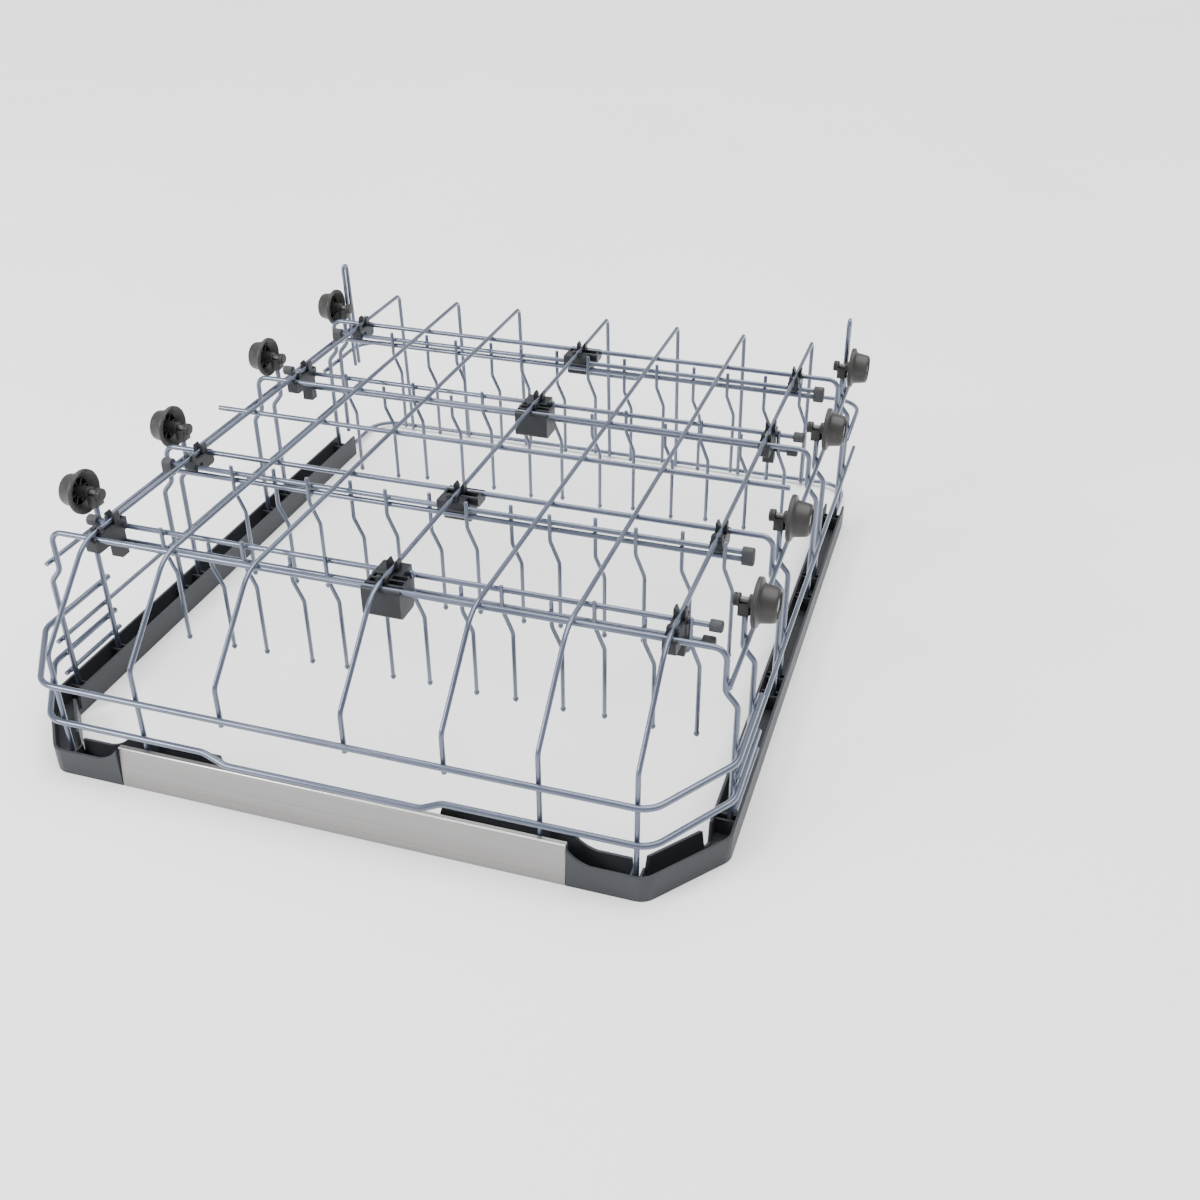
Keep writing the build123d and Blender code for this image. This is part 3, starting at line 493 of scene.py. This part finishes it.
# Wheel brackets: small mouldings pushed down over the posts, with a saddle under the pin and a barrel at its
# end. The saddle is open on top, so that the pin shows, and a round collar keeps the wheel off the post.
bracket_plastic = plastic(
    "bracket_grey", (0.018, 0.0175, 0.018), (0.030, 0.029, 0.029),
    patch=45.0, rough=(0.36, 0.52), grain=1500.0, grain_depth=0.12,
)
BARREL = (
    (236.8, 0.0), (236.8, 3.9), (237.4, 4.6), (238.7, 4.7), (239.0, 4.3), (239.5, 4.3), (239.8, 4.7),
    (241.2, 4.6), (241.7, 4.1), (241.7, BORE), (239.9, BORE), (239.9, 0.0),
)
COLLAR = ((247.2, BORE), (247.2, 4.2), (247.7, 4.7), (250.3, 4.8), (250.6, 4.5), (250.6, BORE))
SADDLE_X, SADDLE_Z, SADDLE_SIZE = 244.4, 148.6, (7.4, 9.4, 10.0)
SADDLE_WALL, SADDLE_DEPTH, SADDLE_ROUND = 1.5 * MM, 2.6 * MM, 0.45 * MM
SLEEVE_LOW_RADIUS, SLEEVE_TOP_RADIUS, SLEEVE_HEIGHT = 4.1 * MM, 3.6 * MM, 8.6 * MM
for side, hand in ((-1, "left"), (1, "right")):
    for number, y in enumerate(WHEEL_YS, start=1):
        head = bmesh.new()
        place = Matrix.Translation(Vector((side * SADDLE_X, y, SADDLE_Z)) * MM)
        saddle = bmesh.ops.create_cube(head, size=1.0, matrix=place @ box(SADDLE_SIZE))
        top = [f for f in {f for v in saddle["verts"] for f in v.link_faces} if f.normal.z > 0.9]
        bmesh.ops.inset_region(head, faces=top, thickness=SADDLE_WALL)
        bmesh.ops.translate(head, verts=list({v for f in top for v in f.verts}), vec=(0, 0, -SADDLE_DEPTH))
        bmesh.ops.bevel(
            head, geom=head.edges[:], offset=SADDLE_ROUND, segments=2, affect="EDGES", profile=0.5,
        )
        bmesh.ops.create_cone(
            head, segments=24, cap_ends=True, radius1=SLEEVE_LOW_RADIUS, radius2=SLEEVE_TOP_RADIUS,
            depth=SLEEVE_HEIGHT, matrix=place @ Matrix.Translation(Vector((side * 0.9, 0, -0.5)) * MM),
        )
        spin_profile(head, side, y, BARREL, 28)
        spin_profile(head, side, y, COLLAR, 28)
        bmesh.ops.remove_doubles(head, verts=head.verts, dist=0.001 * MM)
        piece = finish_piece(f"bracket_{hand}_{number}", head, "rack", bracket_plastic)
        split_corners(piece)
        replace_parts(piece, f"wheel_bracket_{hand}_{number}")


# Axle pins: turned steel pins with flat heads, pressed into the brackets.
# Their steel is coloured a dark grey, painted shade that keeps them from shining where they sit in the
# saddles.
pin_steel = plastic(
    "pin_steel", (0.10, 0.10, 0.10), (0.16, 0.16, 0.16),
    patch=120.0, rough=(0.34, 0.48), grain=1200.0, grain_depth=0.08, metallic=0.8,
)
dress(nodes["axle_pins"], pin_steel)


# Studio: a pale seamless floor in an evenly bright room.
# The floor is matt, so that the rack leaves only soft contact shadows on it.
FLOOR_HALF = 6.0
floor_mesh = bmesh.new()
bmesh.ops.create_grid(floor_mesh, x_segments=1, y_segments=1, size=FLOOR_HALF)
floor = bpy.data.objects.new("studio_floor", bpy.data.meshes.new("studio_floor"))
floor_mesh.to_mesh(floor.data)
floor_mesh.free()
bpy.context.scene.collection.objects.link(floor)
floor_paint = plastic(
    "studio_floor", (0.88, 0.88, 0.88), (0.91, 0.91, 0.91),
    patch=2.0, rough=(0.8, 0.9), grain=200.0, grain_depth=0.02,
)
dress(floor, floor_paint)
world = bpy.data.worlds.new("studio")
world.use_nodes = True
background = world.node_tree.nodes["Background"]
background.inputs["Color"].default_value = (0.95, 0.97, 1.0, 1.0)
background.inputs["Strength"].default_value = 0.72
bpy.context.scene.world = world


# Lamps: a very wide soft one far overhead lights the floor evenly.
# A softbox at the front left fills the shadows and draws the highlights along the wires.
sky_lamp = bpy.data.lights.new("overhead_sky", "SUN")
sky_lamp.energy = 5.4
sky_lamp.angle = radians(70.0)
sky = bpy.data.objects.new("overhead_sky", sky_lamp)
sky.rotation_euler = (radians(-12.0), radians(8.0), 0.0)
bpy.context.scene.collection.objects.link(sky)
fill_lamp = bpy.data.lights.new("front_left_softbox", "AREA")
fill_lamp.size = 1.0
fill_lamp.energy = 70.0
fill = bpy.data.objects.new("front_left_softbox", fill_lamp)
fill.location = (-1.6, -1.7, 1.5)
fill.rotation_euler = (Vector((0.0, 0.0, 0.1)) - fill.location).to_track_quat("-Z", "Y").to_euler()
bpy.context.scene.collection.objects.link(fill)


# Camera: it stands where the photograph was taken from, a little right of the middle and above the rack.
# It looks down and across the rack with a slightly long lens.
PITCH_DOWN, TURN_LEFT = 0.566, 0.305
lens = bpy.data.cameras.new("photo_view")
lens.sensor_width = 36.0
lens.lens = 40.24
camera = bpy.data.objects.new("photo_view", lens)
camera.location = (0.3745, -0.8933, 0.6173)
camera.rotation_euler = (pi / 2 - PITCH_DOWN, 0.0, TURN_LEFT)
bpy.context.scene.collection.objects.link(camera)
bpy.context.scene.camera = camera
